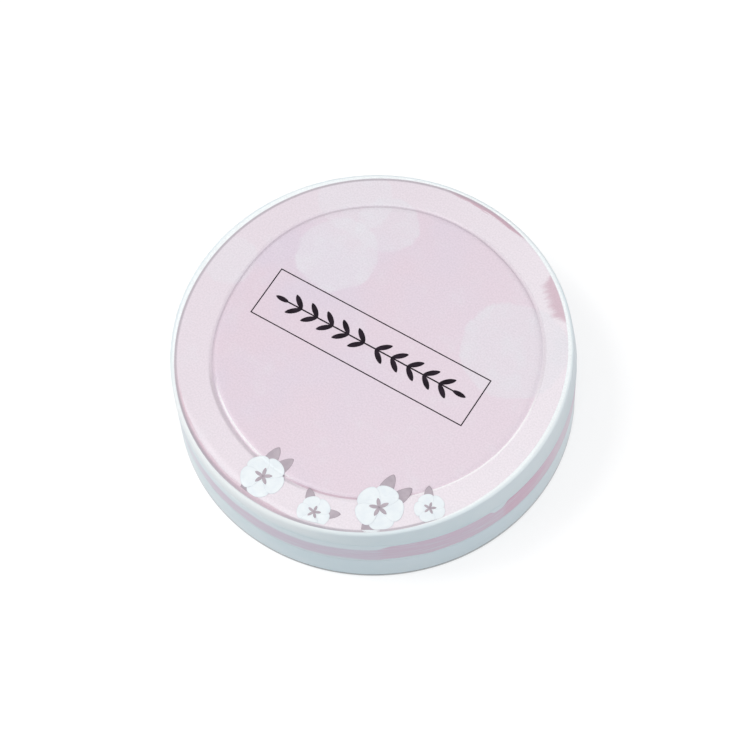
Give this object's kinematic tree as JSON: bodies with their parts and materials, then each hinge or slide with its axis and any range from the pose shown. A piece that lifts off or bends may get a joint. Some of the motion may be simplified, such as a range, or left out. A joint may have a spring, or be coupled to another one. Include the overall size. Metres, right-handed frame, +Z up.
{
  "type": "round tissue case",
  "caption": "Flat round case for cotton tissues: lift-off lid with a printed film top and ring groove, a tub with a printed waist band, and a stack of loose round tissues inside.",
  "frame": {"origin": "centre of the foot ring, on the case's axis, on the plane that the case rests on", "axes": "+Z up along the case's axis, towards the lid; +X along the long side of the frame printed on the lid; -Y towards the print's lower edge"},
  "size_m": [0.09, 0.09, 0.0215],
  "materials": {
    "shell_white": "smooth moulded white, soft gloss",
    "tub_white": "smooth moulded white, soft gloss",
    "label_print": "printed film, pale pink and lilac, satin",
    "band_print": "printed film strip, white with a brushed pink stripe, satin",
    "cotton": "embossed cotton nonwoven"
  },
  "bodies": {
    "tub": {"base_tub": "tub_white", "waist_band": "band_print"},
    "stack": {"cotton_tissue_01": "cotton", "cotton_tissue_02": "cotton", "cotton_tissue_03": "cotton", "cotton_tissue_04": "cotton", "cotton_tissue_05": "cotton", "cotton_tissue_06": "cotton", "cotton_tissue_07": "cotton", "cotton_tissue_08": "cotton", "cotton_tissue_09": "cotton", "cotton_tissue_10": "cotton", "cotton_tissue_11": "cotton", "cotton_tissue_12": "cotton", "cotton_tissue_13": "cotton", "cotton_tissue_14": "cotton", "cotton_tissue_15": "cotton"},
    "top_tissue": {"cotton_tissue_16": "cotton"},
    "lid": {"lid_shell": "shell_white", "lid_label": "label_print"}
  },
  "joints": [
    {"name": "stack_lift", "type": "slide", "parent": "tub", "child": "stack", "axis": [0, 0, 1], "range_m": [0, 0.03]},
    {"name": "tissue_lift", "type": "slide", "parent": "stack", "child": "top_tissue", "axis": [0, 0, 1], "range_m": [0, 0.02]},
    {"name": "lid_lift", "type": "slide", "parent": "top_tissue", "child": "lid", "axis": [0, 0, 1], "range_m": [0, 0.04]}
  ]
}
